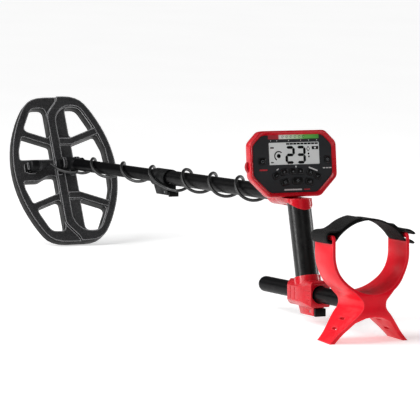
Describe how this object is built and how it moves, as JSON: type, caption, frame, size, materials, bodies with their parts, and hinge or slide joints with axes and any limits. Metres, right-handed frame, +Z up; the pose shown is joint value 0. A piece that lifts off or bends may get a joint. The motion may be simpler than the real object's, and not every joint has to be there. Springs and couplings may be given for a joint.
{
  "type": "metal detector",
  "caption": "Hobby metal detector: open double-D search coil on a telescopic shaft, control pod with display over an upright grip, armrest with feet.",
  "frame": {"origin": "On the ground, under the middle of the whole object's box", "axes": "+X forward along the shaft to the coil, +Y to the left of someone holding it, +Z up"},
  "size_m": [1.1444, 0.1786, 0.2592],
  "materials": {
    "coil_plastic": "fine moulded texture, dark grey",
    "cover_plastic": "smooth scuffed skid plate",
    "winding": "lacquered copper wire",
    "dark_trim": "moulded nylon, near black",
    "soft_rubber": "matt rubber",
    "lower_tube_skin": "satin black tube",
    "tube_skin": "satin black coating on aluminium",
    "lock_plastic": "moulded nylon",
    "lever_plastic": "moulded nylon, black",
    "steel": "plain steel",
    "red_gloss": "satin red moulding",
    "red_shell": "satin red moulding",
    "red_rubber": "soft red rubber",
    "red_armrest": "satin red moulding",
    "face_plastic": "fine texture, dark grey",
    "lcd_glass": "clear window",
    "lcd_panel": "light grey reflective display",
    "board_green": "solder mask",
    "cell_case": "printed steel can",
    "grip_rubber": "foam rubber sleeve",
    "key_rubber": "matt silicone",
    "strap_webbing": "woven hook-and-loop band",
    "cable_jacket": "satin PVC jacket"
  },
  "bodies": {
    "coil": {"coil_housing": "coil_plastic", "coil_cover": "cover_plastic", "transmit_winding": "winding", "receive_winding": "winding", "cable_gland": "dark_trim", "cable_boot": "soft_rubber", "hinge_bolt": "dark_trim", "hinge_nut": "dark_trim", "hinge_washers": "soft_rubber", "cable_slack": "cable_jacket"},
    "lower_shaft": {"shaft_yoke": "dark_trim", "lower_tube": "lower_tube_skin", "lower_tube_bush": "lock_plastic", "cable_lower": "cable_jacket"},
    "main": {"lock_body": "lock_plastic", "lock_collar": "lock_plastic", "lock_liner": "lock_plastic", "lock_pin": "steel", "upper_tube": "tube_skin", "neck": "red_gloss", "pod_shell": "red_shell", "pod_bezel": "red_gloss", "face_panel": "face_plastic", "lcd_window": "lcd_glass", "lcd_module": "lcd_panel", "main_board": "board_green", "key_mat": "soft_rubber", "speaker": "dark_trim", "battery_tray": "dark_trim", "battery_cells": "cell_case", "headphone_jack": "dark_trim", "pod_screws": "steel", "handle_core": "dark_trim", "handle_grip": "grip_rubber", "rear_clamp": "red_gloss", "clamp_liner": "lock_plastic", "clamp_pin": "steel", "cable_plug": "dark_trim", "cable_upper": "cable_jacket"},
    "lock_lever_body": {"lock_lever": "lever_plastic"},
    "clamp_lever_body": {"clamp_lever": "lever_plastic"},
    "rear_shaft": {"rear_tube": "tube_skin", "rear_tube_cap": "dark_trim", "armrest": "red_armrest", "armrest_screw": "steel", "arm_strap": "strap_webbing"},
    "door": {"battery_door": "red_shell"},
    "jack_plug_cover": {"jack_cover": "red_rubber"},
    "key_power_body": {"key_power": "key_rubber"},
    "key_detect_body": {"key_detect": "key_rubber"},
    "key_minus_body": {"key_minus": "key_rubber"},
    "key_plus_body": {"key_plus": "key_rubber"},
    "key_left_body": {"key_left": "key_rubber"},
    "key_right_body": {"key_right": "key_rubber"},
    "key_reject_body": {"key_reject": "key_rubber"},
    "key_accept_body": {"key_accept": "key_rubber"},
    "key_menu_body": {"key_menu": "key_rubber"},
    "key_light_body": {"key_light": "key_rubber"},
    "key_frequency_body": {"key_frequency": "key_rubber"}
  },
  "joints": [
    {"name": "coil_tilt", "type": "hinge", "parent": "lower_shaft", "child": "coil", "pos_m": [0.47794, 0, 0.13068], "axis": [0, 1, 0], "range_deg": [-60, 62], "deforming": ["cable_slack"]},
    {"name": "lower_shaft_slide", "type": "slide", "parent": "main", "child": "lower_shaft", "axis": [0.9988, 0, -0.0489], "range_m": [-0.2, 0.1], "deforming": ["cable_lower"]},
    {"name": "rear_tube_slide", "type": "slide", "parent": "main", "child": "rear_shaft", "axis": [0.9988, 0, -0.0489], "range_m": [-0.07, 0.07]},
    {"name": "lock_lever_turn", "type": "hinge", "parent": "main", "child": "lock_lever_body", "pos_m": [0.08933, 0, 0.12766], "axis": [0, 1, 0], "range_deg": [-90, 0]},
    {"name": "clamp_lever_turn", "type": "hinge", "parent": "main", "child": "clamp_lever_body", "pos_m": [-0.40059, 0, 0.01846], "axis": [0, 1, 0], "range_deg": [-90, 0]},
    {"name": "battery_door_slide", "type": "slide", "parent": "main", "child": "door", "axis": [0.1444, 0, 0.9895], "range_m": [0, 0.05]},
    {"name": "jack_cover_pull", "type": "slide", "parent": "main", "child": "jack_plug_cover", "axis": [0, 1, 0], "range_m": [0, 0.01]},
    {"name": "key_power_press", "type": "slide", "parent": "main", "child": "key_power_body", "axis": [0.9895, 0, -0.1444], "range_m": [0, 0.0008], "stiffness_N_per_m": 200},
    {"name": "key_detect_press", "type": "slide", "parent": "main", "child": "key_detect_body", "axis": [0.9895, 0, -0.1444], "range_m": [0, 0.0008], "stiffness_N_per_m": 200},
    {"name": "key_minus_press", "type": "slide", "parent": "main", "child": "key_minus_body", "axis": [0.9895, 0, -0.1444], "range_m": [0, 0.0008], "stiffness_N_per_m": 200},
    {"name": "key_plus_press", "type": "slide", "parent": "main", "child": "key_plus_body", "axis": [0.9895, 0, -0.1444], "range_m": [0, 0.0008], "stiffness_N_per_m": 200},
    {"name": "key_left_press", "type": "slide", "parent": "main", "child": "key_left_body", "axis": [0.9895, 0, -0.1444], "range_m": [0, 0.0008], "stiffness_N_per_m": 200},
    {"name": "key_right_press", "type": "slide", "parent": "main", "child": "key_right_body", "axis": [0.9895, 0, -0.1444], "range_m": [0, 0.0008], "stiffness_N_per_m": 200},
    {"name": "key_reject_press", "type": "slide", "parent": "main", "child": "key_reject_body", "axis": [0.9895, 0, -0.1444], "range_m": [0, 0.0008], "stiffness_N_per_m": 200},
    {"name": "key_accept_press", "type": "slide", "parent": "main", "child": "key_accept_body", "axis": [0.9895, 0, -0.1444], "range_m": [0, 0.0008], "stiffness_N_per_m": 200},
    {"name": "key_menu_press", "type": "slide", "parent": "main", "child": "key_menu_body", "axis": [0.9895, 0, -0.1444], "range_m": [0, 0.0008], "stiffness_N_per_m": 200},
    {"name": "key_light_press", "type": "slide", "parent": "main", "child": "key_light_body", "axis": [0.9895, 0, -0.1444], "range_m": [0, 0.0008], "stiffness_N_per_m": 200},
    {"name": "key_frequency_press", "type": "slide", "parent": "main", "child": "key_frequency_body", "axis": [0.9895, 0, -0.1444], "range_m": [0, 0.0008], "stiffness_N_per_m": 200}
  ]
}
